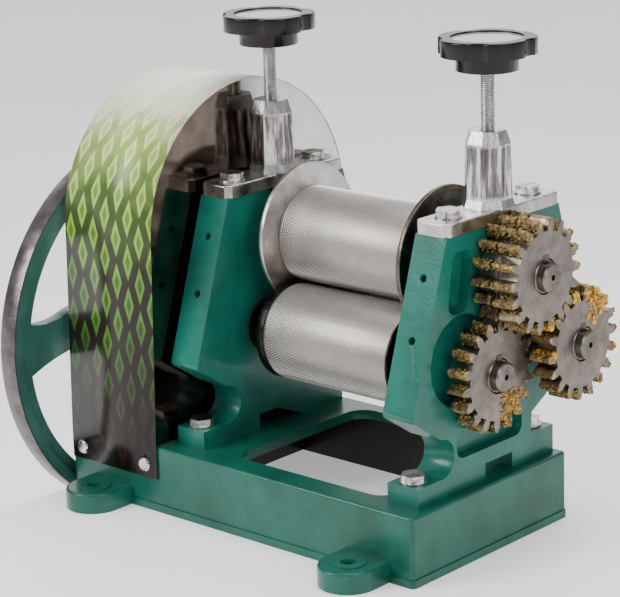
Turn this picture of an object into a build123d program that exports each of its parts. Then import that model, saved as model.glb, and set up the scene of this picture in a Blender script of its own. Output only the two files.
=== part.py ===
from build123d import *
import math
import os

# Hand-cranked three-roller cane press. Millimetres, +Z up. X runs along the rollers, from the
# flywheel (-X) to the open roller gears (+X); cane is fed from the front (-Y).
# Origin: centre of the four base bolt holes, on the underside of the base.

# ---------------------------------------------------------------- driving dimensions
# base casting
base_left_margin = 116.0
base_right_margin = 11.0
base_width = 208.0
base_height = 60.0
base_wall = 8.0
deck_thickness = 9.0
base_corner_radius = 3.5
base_edge_round = 2.5
bead_height = 7.0
bead_reach = 1.2
window_left_margin = 32.0
window_right_margin = 5.0
window_front_y = -79.5
window_back_y = 88.0
window_corner = 18.0
rib_thickness = 8.0
rib_frame_gap = 16.0
lug_inset_x = 50.0
lug_reach_y = 22.0
lug_radius = 25.5
lug_thickness = 18.0
lug_hole_radius = 6.5
lug_pad_radius = 15.0
lug_pad_height = 1.0

# roller layout: each lower axis is one spacing from the top one, leaning out by its angle
top_axis_y = 34.0
top_axis_z = 235.5
roller_spacing = 87.0
front_lean = 22.3
back_lean = 36.9
roller_radius = 42.0
roller_length = 149.5
shaft_radius = 15.0
running_clearance = 0.05

# side frames: flat castings, the right one pocketed on its open side
frame_thickness = 32.0
frame_top_z = 276.5
frame_top_half = 75.3
foot_front_inset = 20.8
foot_back_inset = 4.0
foot_front_height = 16.0
foot_back_height = 23.0
knee_front_y = -88.0
knee_back_y = 130.0
knee_z = 134.0
knee_round = 5.0
shoulder_z = 205.0
scoop_radius = 17.0
scoop_front_y = -52.0
waist_back_y = 70.0
waist_back_z = 102.0
waist_foot_y = 68.0
notch_height = 14.0
right_notch_front_y = 5.5
right_notch_back_y = 42.3
left_notch_front_y = -12.0
left_notch_flat_y = 11.0
left_notch_back_y = 45.0
pocket_depth = 10.0
pocket_round = 9.0
front_pocket_y = -25.0
front_pocket_radius = 39.0
back_pocket_y = 90.0
back_pocket_radius = 34.0
bearing_pocket_z = 171.0
bearing_boss_radius = 29.0
oval_reach = 63.0
oval_width = 26.0
oval_low_z = 211.0
oval_high_z = 262.5
low_pocket_front_y = -32.0
low_pocket_back_y = 56.0
low_pocket_bottom_z = 87.0
low_pocket_top_z = 112.0
chute_hole_radius = 3.4
chute_hole_depth = 20.0
chute_hole_shares = (0.23, 0.57)

# sliding bearing blocks, bushes
block_width = 44.0
block_height = 52.0
block_below_axis = 22.0
block_side_clearance = 0.1
block_bed_gap = 0.2
block_length = 30.0
bush_radius = 20.0
lift_range = 1.5

# bearing caps
cap_thickness = 11.0
cap_width = 35.0
cap_corner = 5.0
cap_length = 152.0
cap_bolt_reach = 53.0
boss_foot_radius = 23.0
boss_flare_height = 7.0
boss_base_radius = 20.6
boss_shoulder_radius = 19.3
boss_top_radius = 15.6
boss_height = 63.5
boss_chamfer_height = 11.0
boss_flats = 8

# pressure screws and knobs
screw_radius = 6.0
screw_clearance = 0.1
screw_socket_depth = 4.0
knob_bottom_z = 400.0
knob_hub_height = 13.0
knob_hub_radius = 25.8
knob_disc_height = 14.0
knob_radius = 41.2
knob_lobe_depth = 4.6
knob_lobes = 5
knob_turn = -9.5
knob_dish_radius = 30.0
knob_dish_depth = 3.0
knob_plate_thickness = 1.5
knob_bore_depth = 20.0

# roller end flanges, collars and rings
flange_radius = 62.5
flange_thickness = 4.5
left_collar_space = 22.0
right_collar_space = 28.5
collar_radius = 24.0
collar_frame_gap = 1.0
ring_flange_gap = 0.7
ring_radius = 42.6
left_ring_thickness = 8.0
right_ring_thickness = 2.5

# roller gears
gear_teeth = 18
gear_addendum = 1.0
gear_dedendum = 1.15
gear_width = 20.0
inner_gear_width = 17.0
gear_groove = 3.0
gear_groove_radius = 37.0
gear_frame_gap = 2.0
spacer_radius = 22.0
shaft_nose_length = 7.5
shaft_nose_radius = 12.5
centre_hole_radius = 2.6
centre_hole_depth = 3.0
shaft_chamfer = 1.5
tooth_backlash = 0.6
key_width = 8.0
key_height = 7.0
key_in_shaft = 4.0

# reduction drive inside the cover
pinion_teeth = 12
drive_teeth = 42
drive_module = 4.0
drive_addendum = 0.8
drive_dedendum = 1.0
drive_width = 24.0
pinion_width = 28.0
drive_frame_distance = 72.0
drive_hub_radius = 28.0
drive_hub_width = 34.0
drive_web_thickness = 10.0
drive_rim_radius = 72.0
crank_offset_y = -20.0
shaft_beyond_hub = 3.0

# crank shaft and its flanged bearing housing
crank_shaft_radius = 12.5
housing_radius = 22.0
housing_flange_radius = 34.0
housing_flange_thickness = 4.0
housing_length = 52.0
crank_bush_radius = 17.0
crank_bush_length = 20.0
housing_screw_radius = 3.0
housing_screw_circle = 28.0
housing_screw_depth = 14.0
housing_screw_head_radius = 5.0
housing_screw_head_height = 2.0

# flywheel with its crank handle
wheel_radius = 175.0
wheel_rim_depth = 21.0
wheel_rim_width = 18.6
wheel_cover_gap = 8.0
spoke_count = 5
spoke_first_angle = 178.0
spoke_half_width = 17.5
spoke_root_half = 14.0
spoke_flare = 30.0
spoke_bulge = 14.0
spoke_thickness = 12.0
hub_radius = 28.0
hub_length = 30.0
rim_step_depth = 3.0
rim_land = 10.0
nut_across = 30.0
nut_height = 12.0
washer_radius = 19.0
washer_thickness = 3.0
handle_spoke = 3
handle_rim_gap = 13.0
handle_boss_radius = 16.0
spindle_radius = 7.0
grip_radius = 16.0
grip_end_radius = 12.5
grip_length = 95.0
grip_gap = 1.5
spindle_head_radius = 11.0
spindle_head_length = 5.0
spindle_nut_across = 22.0
spindle_nut_height = 8.0

# sheet-metal cover over the drive
cover_length = 108.0
cover_frame_gap = 6.0
cover_sheet = 1.5
cover_arc_radius = 125.8
cover_arc_y = 26.0
cover_arc_z = 242.0
cover_skirt_z = 30.0
cover_bend_z = 62.0
cover_side_gap = 1.0
cover_shaft_clearance = 3.0
cover_screw_inset = 13.5
cover_screw_z = 42.5
cover_screw_radius = 3.0
cover_screw_head = 6.5
cover_screw_head_height = 3.5
cover_screw_grip = 8.0

# hexagon bolts
bolt_radius = 6.0
bolt_across = 19.0
bolt_head_height = 5.5
bolt_washer_radius = 11.5
bolt_washer_thickness = 1.5
bolt_length = 22.0
bolt_end_margin = 14.0

# ---------------------------------------------------------------- places worked out from them
roller_span = left_collar_space + roller_length + 2 * flange_thickness + right_collar_space
base_length = base_left_margin + 2 * frame_thickness + roller_span + base_right_margin
lug_spacing_x = base_length - 2 * lug_inset_x
lug_spacing_y = base_width + 2 * lug_reach_y
frame_left_x = base_left_margin - base_length / 2
frame_left_face = frame_left_x + frame_thickness
frame_right_x = frame_left_face + roller_span
frame_right_face = frame_right_x + frame_thickness
frames = {"left": frame_left_x, "right": frame_right_x}
window_left_x = frame_left_face + window_left_margin
window_right_x = frame_right_x - window_right_margin
rib_x = frame_left_x - rib_frame_gap - rib_thickness / 2
roller_left_x = frame_left_face + left_collar_space + flange_thickness
roller_right_x = roller_left_x + roller_length
lower_left_x = roller_left_x + ring_flange_gap
lower_right_x = roller_right_x - ring_flange_gap
front_axis_y = top_axis_y - roller_spacing * math.sin(math.radians(front_lean))
front_axis_z = top_axis_z - roller_spacing * math.cos(math.radians(front_lean))
back_axis_y = top_axis_y + roller_spacing * math.sin(math.radians(back_lean))
back_axis_z = top_axis_z - roller_spacing * math.cos(math.radians(back_lean))
lower_axes = {"front": (front_axis_y, front_axis_z), "back": (back_axis_y, back_axis_z)}
gear_module = roller_spacing / gear_teeth
inner_gear_x = frame_right_face + gear_frame_gap
inner_gear_end_x = inner_gear_x + inner_gear_width
gear_x = inner_gear_end_x + gear_groove
gear_face_x = gear_x + gear_width
lower_gear_spans = {"front": (inner_gear_x, inner_gear_end_x), "back": (gear_x, gear_face_x)}
front_top_y = top_axis_y - frame_top_half
back_top_y = top_axis_y + frame_top_half
foot_front_y = foot_front_inset - base_width / 2
foot_back_y = base_width / 2 - foot_back_inset
foot_front_z = base_height + foot_front_height
foot_back_z = base_height + foot_back_height
scoop_z = foot_front_z + scoop_radius
block_bottom_z = top_axis_z - block_below_axis
block_top_z = block_bottom_z + block_height
bush_bore = shaft_radius + running_clearance
crank_axis_y = top_axis_y + crank_offset_y
drive_distance = drive_module * (pinion_teeth + drive_teeth) / 2
crank_axis_z = top_axis_z - math.sqrt(drive_distance**2 - crank_offset_y**2)
drive_gear_x = frame_left_x - drive_frame_distance
top_shaft_end_x = drive_gear_x - drive_hub_width / 2 - shaft_beyond_hub
cover_right_x = frame_left_x - cover_frame_gap
cover_left_x = cover_right_x - cover_length
wheel_face_x = cover_left_x - wheel_cover_gap
wheel_back_x = wheel_face_x - wheel_rim_width
wheel_rim_inner = wheel_radius - wheel_rim_depth
rim_step_radius = wheel_radius - rim_land
handle_circle = wheel_rim_inner - handle_rim_gap
hub_centre_x = wheel_face_x - wheel_rim_width / 2
hub_outer_x = hub_centre_x - hub_length / 2
hub_inner_x = hub_centre_x + hub_length / 2
nut_x = hub_outer_x - washer_thickness - nut_height
housing_start_x = frame_left_x - housing_length
cap_top_z = frame_top_z + cap_thickness
knob_disc_z = knob_bottom_z + knob_hub_height
knob_top_z = knob_disc_z + knob_disc_height
handle_angle = math.radians(spoke_first_angle + handle_spoke * 360 / spoke_count)
handle_y = crank_axis_y + handle_circle * math.cos(handle_angle)
handle_z = crank_axis_z + handle_circle * math.sin(handle_angle)
grip_start_x = wheel_back_x - spindle_nut_height - grip_gap
grip_end_x = grip_start_x - grip_length


# ---------------------------------------------------------------- building helpers
def prism(face, x0, x1):
    """A face drawn in (Y, Z), carried along X from x0 to x1."""
    return extrude(Plane.YZ.offset(x0) * face, amount=x1 - x0)


def rod(radius, x0, x1, y, z):
    """A round bar along X."""
    return prism(Pos(y, z) * Circle(radius), x0, x1)


def sleeve(radius, bore, x0, x1, y, z):
    """A round tube along X."""
    return prism(Pos(y, z) * (Circle(radius) - Circle(bore)), x0, x1)


def post(radius, z0, z1, x, y):
    """A round bar along Z."""
    return Pos(x, y, z0) * extrude(Circle(radius), amount=z1 - z0)


def block(x0, x1, y0, y1, z0, z1):
    """A rectangular block between two corners."""
    centre = Pos((x0 + x1) / 2, (y0 + y1) / 2, (z0 + z1) / 2)
    return centre * Box(x1 - x0, y1 - y0, z1 - z0)


def outline(*edges):
    """The face inside a closed run of edges."""
    return make_face(Curve() + list(edges))


def hexagon(across):
    """A hexagon, by its width across flats."""
    return RegularPolygon(across / 2, 6, major_radius=False)


def save(node, shape):
    """Writes one node's STEP file."""
    shape.label = node
    export_step(shape, f"parts/{node}.step")


def group(node, shapes):
    """Writes like pieces as one node of separate solids."""
    save(node, Compound(children=[s.solid() for s in shapes]))


# ---------------------------------------------------------------- base casting
def make_base():
    """Open-bottomed box casting with a drip window, a cross rib, a foot bead and four lugs."""
    plan = RectangleRounded(base_length, base_width, base_corner_radius)
    body = extrude(plan, amount=base_height)
    rim = body.faces().sort_by(Axis.Z)[-1].edges()
    body = fillet(rim, base_edge_round)
    bead = RectangleRounded(
        base_length + 2 * bead_reach, base_width + 2 * bead_reach, base_corner_radius + bead_reach
    )
    body += extrude(bead, amount=bead_height)
    for side_x in (-1, 1):
        for side_y in (-1, 1):
            body += make_lug(side_x, side_y)
    hollow = RectangleRounded(
        base_length - 2 * base_wall, base_width - 2 * base_wall, base_corner_radius
    )
    ceiling = base_height - deck_thickness
    body -= extrude(hollow, amount=ceiling)
    half_inside = base_width / 2 - base_wall
    half_rib = rib_thickness / 2
    body += block(rib_x - half_rib, rib_x + half_rib, -half_inside, half_inside, 0, ceiling)
    window_centre = Pos((window_left_x + window_right_x) / 2, (window_front_y + window_back_y) / 2)
    window = RectangleRounded(
        window_right_x - window_left_x, window_back_y - window_front_y, window_corner
    )
    body -= extrude(window_centre * window, amount=base_height)
    for x, y, seat_z in foot_bolt_places():
        body -= post(bolt_radius, seat_z - bolt_length, base_height, x, y)
    for x, y, direction in cover_screw_places():
        hole_y = y - direction * cover_screw_grip
        body -= Pos(x, (y + hole_y) / 2, cover_screw_z) * Cylinder(
            cover_screw_radius, cover_screw_grip, rotation=(90, 0, 0)
        )
    return body


def make_lug(side_x, side_y):
    """A round bolt lug at one corner, blended straight back into the wall."""
    x = side_x * lug_spacing_x / 2
    y = side_y * lug_spacing_y / 2
    inner_y = side_y * (base_width - base_wall) / 2
    lug = post(lug_radius, 0, lug_thickness, x, y)
    lug += block(
        x - lug_radius, x + lug_radius, min(y, inner_y), max(y, inner_y), 0, lug_thickness
    )
    lug = fillet(lug.faces().sort_by(Axis.Z)[-1].edges(), base_edge_round)
    lug += post(lug_pad_radius, 0, lug_thickness + lug_pad_height, x, y)
    return lug - post(lug_hole_radius, 0, lug_thickness + lug_pad_height, x, y)


# ---------------------------------------------------------------- side frames
def frame_profile(notch):
    """The casting's outline in (Y, Z): slanting front, scooped front foot, notched sole."""
    scoop_top = scoop_z + scoop_radius
    upper = Polyline(
        (scoop_front_y, scoop_top),
        (knee_front_y, knee_z),
        (front_top_y, frame_top_z),
        (back_top_y, frame_top_z),
        (knee_back_y, shoulder_z),
        (knee_back_y, knee_z),
        (waist_back_y, waist_back_z),
        (waist_foot_y, foot_back_z),
        (foot_back_y, foot_back_z),
        (foot_back_y, base_height),
        *notch,
        (foot_front_y, base_height),
        (foot_front_y, foot_front_z),
        (scoop_front_y, foot_front_z),
    )
    scoop = ThreePointArc(
        (scoop_front_y, foot_front_z), (scoop_front_y + scoop_radius, scoop_z), (scoop_front_y, scoop_top)
    )
    profile = outline(upper, scoop)
    knees = [v for v in profile.vertices() if abs(v.Y - knee_z) < 0.1]
    return fillet(knees, knee_round)


def sole_notch(front_y, flat_y, back_y):
    """The drain notch in a frame's sole, from the back: slanted where the flat ends early."""
    top = base_height + notch_height
    return [(back_y, base_height), (flat_y, top), (front_y, top), (front_y, base_height)]


def frame_pockets():
    """The sunk areas of the right frame: round each lower bearing, beside the slot, low down."""
    bosses = [Pos(*axis) * Circle(bearing_boss_radius) for axis in lower_axes.values()]
    round_pockets = []
    for y, radius in ((front_pocket_y, front_pocket_radius), (back_pocket_y, back_pocket_radius)):
        round_pockets.append(Pos(y, bearing_pocket_z) * Circle(radius) - bosses)
    slope = (front_top_y - knee_front_y) / (frame_top_z - knee_z)
    lean = slope * (oval_high_z - oval_low_z) / 2
    ovals = []
    for side in (-1, 1):
        middle = top_axis_y + side * oval_reach
        oval = Polygon(
            (middle - oval_width / 2, oval_low_z),
            (middle + oval_width / 2, oval_low_z),
            (middle + oval_width / 2 - side * lean, oval_high_z),
            (middle - oval_width / 2 - side * lean, oval_high_z),
            align=None,
        )
        ovals.append(fillet(oval.vertices(), pocket_round))
    low = Pos(
        (low_pocket_front_y + low_pocket_back_y) / 2, (low_pocket_bottom_z + low_pocket_top_z) / 2
    ) * RectangleRounded(
        low_pocket_back_y - low_pocket_front_y, low_pocket_top_z - low_pocket_bottom_z, pocket_round
    )
    return round_pockets + ovals + [low]


def make_frame(side, x):
    """One side frame, its flat side at x."""
    face = x + frame_thickness
    if side == "left":
        notch = sole_notch(left_notch_front_y, left_notch_flat_y, left_notch_back_y)
        body = prism(frame_profile(notch), x, face)
        for y, z in housing_screw_places():
            body -= rod(housing_screw_radius, x, x + housing_screw_depth, y, z)
    else:
        notch = sole_notch(right_notch_front_y, right_notch_back_y, right_notch_back_y)
        body = prism(frame_profile(notch), x, face)
        for pocket in frame_pockets():
            body -= prism(pocket, face - pocket_depth, face)
    body -= block(
        x,
        face,
        top_axis_y - block_width / 2,
        top_axis_y + block_width / 2,
        block_bottom_z - block_bed_gap,
        frame_top_z,
    )
    for axis in lower_axes.values():
        body -= rod(bush_radius, x, face, *axis)
    middle = x + frame_thickness / 2
    for reach in (-cap_bolt_reach, cap_bolt_reach):
        bolt_bottom = cap_top_z - bolt_length
        body -= post(bolt_radius, bolt_bottom, frame_top_z, middle, top_axis_y + reach)
    for bolt_x, bolt_y, seat_z in foot_bolt_places():
        if bolt_x == middle:
            body -= post(bolt_radius, base_height, seat_z, bolt_x, bolt_y)
    for y, z in chute_hole_places():
        body -= chute_hole(middle, y, z)
    return body


def chute_hole_places():
    """(Y, Z) of the tapped chute holes, as shares of the way down the slanting front."""
    return [
        (
            front_top_y + (knee_front_y - front_top_y) * share,
            frame_top_z + (knee_z - frame_top_z) * share,
        )
        for share in chute_hole_shares
    ]


def chute_hole(x, y, z):
    """A tapped hole square to the slanting front face."""
    slope = math.degrees(math.atan2(front_top_y - knee_front_y, frame_top_z - knee_z))
    return Location((x, y, z), (-90 - slope, 0, 0)) * Cylinder(
        chute_hole_radius, 2 * chute_hole_depth
    )


def foot_bolt_places():
    """(X, Y, seat height) of the four bolts that hold the frames to the base."""
    front = foot_front_y + bolt_end_margin
    back = foot_back_y - bolt_end_margin
    places = []
    for x in frames.values():
        middle = x + frame_thickness / 2
        places.append((middle, front, foot_front_z))
        places.append((middle, back, foot_back_z))
    return places


# ---------------------------------------------------------------- hexagon bolts
def make_bolt(x, y, seat_z):
    """A washer-faced hexagon bolt whose washer lies on seat_z."""
    head_z = seat_z + bolt_washer_thickness
    bolt = post(bolt_radius, seat_z - bolt_length, head_z, x, y)
    bolt += post(bolt_washer_radius, seat_z, head_z, x, y)
    head = extrude(hexagon(bolt_across), amount=bolt_head_height)
    head = head & Cylinder(
        bolt_across * 0.56, bolt_head_height, align=(Align.CENTER, Align.CENTER, Align.MIN)
    )
    return bolt + Pos(x, y, head_z) * head


# ---------------------------------------------------------------- bearing caps
def make_cap(x):
    """Cap casting over one frame: a plate and a tall eight-sided screw boss."""
    middle = x + frame_thickness / 2
    plan = chamfer(Rectangle(cap_width, cap_length).vertices(), cap_corner)
    plate = Pos(middle, top_axis_y, frame_top_z) * extrude(plan, amount=cap_thickness)
    plate = fillet(plate.faces().sort_by(Axis.Z)[-1].edges(), 1.5)
    shoulder_z = cap_top_z + boss_height - boss_chamfer_height
    flare_z = cap_top_z + boss_flare_height
    flare = loft(
        [
            boss_section(middle, cap_top_z, boss_foot_radius),
            boss_section(middle, flare_z, boss_base_radius),
        ]
    )
    body = loft(
        [
            boss_section(middle, flare_z, boss_base_radius),
            boss_section(middle, shoulder_z, boss_shoulder_radius),
        ]
    )
    nose = loft(
        [
            boss_section(middle, shoulder_z, boss_shoulder_radius),
            boss_section(middle, shoulder_z + boss_chamfer_height, boss_top_radius),
        ]
    )
    cap = plate + flare + body + nose
    cap -= post(
        screw_radius + screw_clearance, frame_top_z, cap_top_z + boss_height, middle, top_axis_y
    )
    for reach in (-cap_bolt_reach, cap_bolt_reach):
        cap -= post(bolt_radius, frame_top_z, cap_top_z, middle, top_axis_y + reach)
    return cap


def boss_section(x, z, radius):
    """An eight-sided section of the screw boss."""
    turn = 180 / boss_flats
    return Location((x, top_axis_y, z), (0, 0, turn)) * RegularPolygon(radius, boss_flats)


# ---------------------------------------------------------------- bearing blocks, bushes
def make_bearing_block(x):
    """Sliding block of the top roller, with a socket for the pressure screw."""
    x0 = x + (frame_thickness - block_length) / 2
    half = block_width / 2 - block_side_clearance
    body = block(
        x0, x0 + block_length, top_axis_y - half, top_axis_y + half, block_bottom_z, block_top_z
    )
    body -= rod(bush_radius, x0, x0 + block_length, top_axis_y, top_axis_z)
    return body - post(
        screw_radius + screw_clearance,
        block_top_z - screw_socket_depth,
        block_top_z,
        x + frame_thickness / 2,
        top_axis_y,
    )


# ---------------------------------------------------------------- pressure screws and knobs
def make_screw(x):
    """Pressure screw, from its socket in the block up into the knob."""
    bottom = block_top_z - screw_socket_depth
    screw = post(
        screw_radius, bottom, knob_bottom_z + knob_bore_depth, x + frame_thickness / 2, top_axis_y
    )
    return chamfer(screw.edges().filter_by(GeomType.CIRCLE), 0.8)


def knob_outline():
    """Five round lobes joined by shallow hollows."""
    step = 360 / knob_lobes
    hollow_radius = knob_radius - knob_lobe_depth
    edges = []
    for i in range(knob_lobes):
        middle = i * step
        lobe_start = (knob_radius * 0.97, middle - step * 0.33)
        lobe_end = (knob_radius * 0.97, middle + step * 0.33)
        next_start = (knob_radius * 0.97, middle + step * 0.67)
        edges.append(
            ThreePointArc(polar(*lobe_start), polar(knob_radius, middle), polar(*lobe_end))
        )
        hollow = polar(hollow_radius, middle + step / 2)
        edges.append(ThreePointArc(polar(*lobe_end), hollow, polar(*next_start)))
    return outline(*edges)


def polar(radius, degrees):
    """A point at a radius and an angle."""
    angle = math.radians(degrees)
    return (radius * math.cos(angle), radius * math.sin(angle))


def make_knob(x):
    """Lobed moulded knob with a round hub below and a dish on top."""
    disc = Pos(0, 0, knob_disc_z) * extrude(knob_outline(), amount=knob_disc_height)
    disc = fillet(disc.faces().sort_by(Axis.Z)[-1].edges(), 1.5)
    knob = disc + post(knob_hub_radius, knob_bottom_z, knob_disc_z, 0, 0)
    knob -= post(knob_dish_radius, knob_top_z - knob_dish_depth, knob_top_z, 0, 0)
    knob -= post(screw_radius, knob_bottom_z, knob_bottom_z + knob_bore_depth, 0, 0)
    return Location((x + frame_thickness / 2, top_axis_y, 0), (0, 0, 270 + knob_turn)) * knob


def make_knob_plate(x):
    """Bright disc pressed into the knob's dish."""
    bottom = knob_top_z - knob_dish_depth
    return post(
        knob_dish_radius, bottom, bottom + knob_plate_thickness, x + frame_thickness / 2, top_axis_y
    )


# ---------------------------------------------------------------- gears
def tooth_flank(module, teeth, radii):
    """Half-angle of an involute tooth of 20 degrees at each radius, in radians."""
    pitch = module * teeth / 2
    base = pitch * math.cos(math.radians(20))
    half_at_pitch = math.pi / (2 * teeth) - tooth_backlash / (2 * pitch)
    involute_at_pitch = math.tan(math.radians(20)) - math.radians(20)
    angles = []
    for radius in radii:
        pressure = math.acos(min(1.0, base / radius))
        angles.append(half_at_pitch + involute_at_pitch - (math.tan(pressure) - pressure))
    return angles


def gear_face(module, teeth, first_tooth, addendum, dedendum):
    """A spur gear's outline about the origin, one tooth centred on the angle first_tooth."""
    pitch = module * teeth / 2
    base = pitch * math.cos(math.radians(20))
    root = pitch - dedendum * module
    tip = pitch + addendum * module
    low = max(base, root + 0.15 * module)
    radii = [root, low, (low + pitch) / 2, pitch, (pitch + tip) / 2, tip]
    half_angles = tooth_flank(module, teeth, radii)
    points = []
    for i in range(teeth):
        centre = math.radians(first_tooth) + 2 * math.pi * i / teeth
        rising = [(r, centre - a) for r, a in zip(radii, half_angles)]
        falling = [(r, centre + a) for r, a in zip(reversed(radii), reversed(half_angles))]
        points += [(r * math.cos(a), r * math.sin(a)) for r, a in rising + falling]
    return make_face(Polyline(*points, close=True))


def meshed_tooth(first_tooth, teeth, direction, other_teeth):
    """First tooth angle of a gear that lies at that direction from one with first_tooth."""
    lead = first_tooth - direction
    return direction + 180 - lead * teeth / other_teeth + 180 / other_teeth


def keyway(y, z, radius, x0, x1):
    """The space of a parallel key on top of a shaft."""
    return block(
        x0,
        x1,
        y - key_width / 2,
        y + key_width / 2,
        z + radius - key_in_shaft,
        z + radius - key_in_shaft + key_height,
    )


def roller_gear_face(first_tooth):
    """The outline shared by the three roller gears."""
    return gear_face(gear_module, gear_teeth, first_tooth, gear_addendum, gear_dedendum)


def drive_gear_face(teeth, first_tooth):
    """The outline of a gear of the reduction drive."""
    return gear_face(drive_module, teeth, first_tooth, drive_addendum, drive_dedendum)


def make_roller_gear(first_tooth, x0, x1, y, z):
    """A lower roller's gear with its bore and keyway."""
    gear = prism(Pos(y, z) * roller_gear_face(first_tooth), x0, x1)
    gear = gear - rod(shaft_radius, x0, x1, y, z)
    return gear - keyway(y, z, shaft_radius, x0, x1)


def make_top_gear(first_tooth):
    """The top gear: two toothed rims with a groove between, one for each lower gear."""
    y, z = top_axis_y, top_axis_z
    face = roller_gear_face(first_tooth)
    gear = prism(Pos(y, z) * face, inner_gear_x, inner_gear_end_x)
    gear += rod(gear_groove_radius, inner_gear_x, gear_face_x, y, z)
    gear += prism(Pos(y, z) * face, gear_x, gear_face_x)
    gear -= rod(shaft_radius, inner_gear_x, gear_face_x, y, z)
    return gear - keyway(y, z, shaft_radius, inner_gear_x, gear_face_x)


def make_drive_gear(first_tooth):
    """Large drive gear on the top shaft: toothed rim, thin web, long hub."""
    y, z = top_axis_y, top_axis_z
    half = drive_width / 2
    face = drive_gear_face(drive_teeth, first_tooth)
    gear = prism(Pos(y, z) * face, drive_gear_x - half, drive_gear_x + half)
    web_half = drive_web_thickness / 2
    hollow = Pos(y, z) * (Circle(drive_rim_radius) - Circle(drive_hub_radius))
    gear -= prism(hollow, drive_gear_x - half, drive_gear_x - web_half)
    gear -= prism(hollow, drive_gear_x + web_half, drive_gear_x + half)
    hub_half = drive_hub_width / 2
    gear += rod(drive_hub_radius, drive_gear_x - hub_half, drive_gear_x + hub_half, y, z)
    gear -= rod(shaft_radius, drive_gear_x - hub_half, drive_gear_x + hub_half, y, z)
    return gear - keyway(y, z, shaft_radius, drive_gear_x - hub_half, drive_gear_x + hub_half)


def make_pinion(first_tooth):
    """Small drive gear on the crank shaft."""
    y, z = crank_axis_y, crank_axis_z
    x0 = drive_gear_x - pinion_width / 2
    x1 = drive_gear_x + pinion_width / 2
    gear = prism(Pos(y, z) * drive_gear_face(pinion_teeth, first_tooth), x0, x1)
    gear -= rod(crank_shaft_radius, x0, x1, y, z)
    return gear - keyway(y, z, crank_shaft_radius, x0, x1)


# ---------------------------------------------------------------- shafts and rollers
def make_shaft(x0, x1, y, z, radius, keyways):
    """A round shaft with chamfered ends and keyways cut from x to x."""
    shaft = rod(radius, x0, x1, y, z)
    shaft = chamfer(shaft.edges().filter_by(GeomType.CIRCLE), shaft_chamfer)
    for k0, k1 in keyways:
        shaft -= keyway(y, z, radius, k0, k1)
    return shaft


def make_roller_shaft(x0, gear_end_x, y, z, keyways):
    """A roller's shaft, turned down and centre-drilled where it stands out of its gear."""
    shaft = make_shaft(x0, gear_end_x, y, z, shaft_radius, keyways)
    end = gear_end_x + shaft_nose_length
    nose = rod(shaft_nose_radius, gear_end_x, end, y, z)
    nose = chamfer(nose.edges().filter_by(GeomType.CIRCLE).sort_by(Axis.X)[-1], shaft_chamfer)
    return shaft + nose - rod(centre_hole_radius, end - centre_hole_depth, end, y, z)


def make_end_ring(x_inner, x_outer, thickness, y, z):
    """A lower roller's end ring, with a hub that reaches out towards the frame."""
    side = 1 if x_outer > x_inner else -1
    ring_end = x_inner + side * thickness
    ring = sleeve(ring_radius, shaft_radius, min(x_inner, ring_end), max(x_inner, ring_end), y, z)
    return ring + sleeve(
        collar_radius, shaft_radius, min(ring_end, x_outer), max(ring_end, x_outer), y, z
    )


# ---------------------------------------------------------------- crank shaft parts
def make_housing():
    """Flanged housing of the crank shaft, bolted to the left frame's flat side."""
    y, z = crank_axis_y, crank_axis_z
    flange_x = frame_left_x - housing_flange_thickness
    housing = rod(housing_radius, housing_start_x, frame_left_x, y, z)
    housing += rod(housing_flange_radius, flange_x, frame_left_x, y, z)
    housing -= rod(crank_shaft_radius + 1, housing_start_x, frame_left_x, y, z)
    for x0, x1 in crank_bush_spans():
        housing -= rod(crank_bush_radius, x0, x1, y, z)
    for hole_y, hole_z in housing_screw_places():
        housing -= rod(housing_screw_radius, flange_x, frame_left_x, hole_y, hole_z)
        head_end = flange_x + housing_screw_head_height
        housing -= rod(housing_screw_head_radius, flange_x, head_end, hole_y, hole_z)
    return housing


def crank_bush_spans():
    """The X spans of the two crank bushes."""
    return [
        (housing_start_x, housing_start_x + crank_bush_length),
        (frame_left_x - crank_bush_length, frame_left_x),
    ]


def housing_screw_places():
    """(Y, Z) of the three housing screws."""
    return [
        (
            crank_axis_y + polar(housing_screw_circle, angle)[0],
            crank_axis_z + polar(housing_screw_circle, angle)[1],
        )
        for angle in (-150, -90, -30)
    ]


def make_housing_screw(y, z):
    """A cheese-head screw, its head sunk flush in the housing's flange, into the left frame."""
    head_x = frame_left_x - housing_flange_thickness
    screw = rod(housing_screw_radius, head_x, frame_left_x + housing_screw_depth, y, z)
    return screw + rod(housing_screw_head_radius, head_x, head_x + housing_screw_head_height, y, z)


# ---------------------------------------------------------------- flywheel
def spoke_face():
    """One curved spoke along +U from the hub, flared into the rim."""
    start = hub_radius * 0.7
    end = (wheel_radius + wheel_rim_inner) / 2
    waist = wheel_rim_inner * 0.72
    bulge = -spoke_bulge
    half_way = (start + waist) / 2
    sag = bulge * 0.62
    upper = ThreePointArc(
        (start, spoke_root_half),
        (half_way, bulge + spoke_half_width),
        (waist, sag + spoke_half_width),
    )
    upper_flare = ThreePointArc(
        (waist, sag + spoke_half_width),
        ((waist + end) / 2 + 4, spoke_half_width + 1),
        (end, spoke_flare),
    )
    lower = ThreePointArc(
        (start, -spoke_root_half),
        (half_way, bulge - spoke_half_width),
        (waist, sag - spoke_half_width),
    )
    lower_flare = ThreePointArc(
        (waist, sag - spoke_half_width),
        ((waist + end) / 2 + 4, -spoke_half_width - 5),
        (end, -spoke_flare),
    )
    root = Line((start, -spoke_root_half), (start, spoke_root_half))
    tip = Line((end, spoke_flare), (end, -spoke_flare))
    return outline(upper, upper_flare, tip, lower_flare, lower, root)


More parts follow.
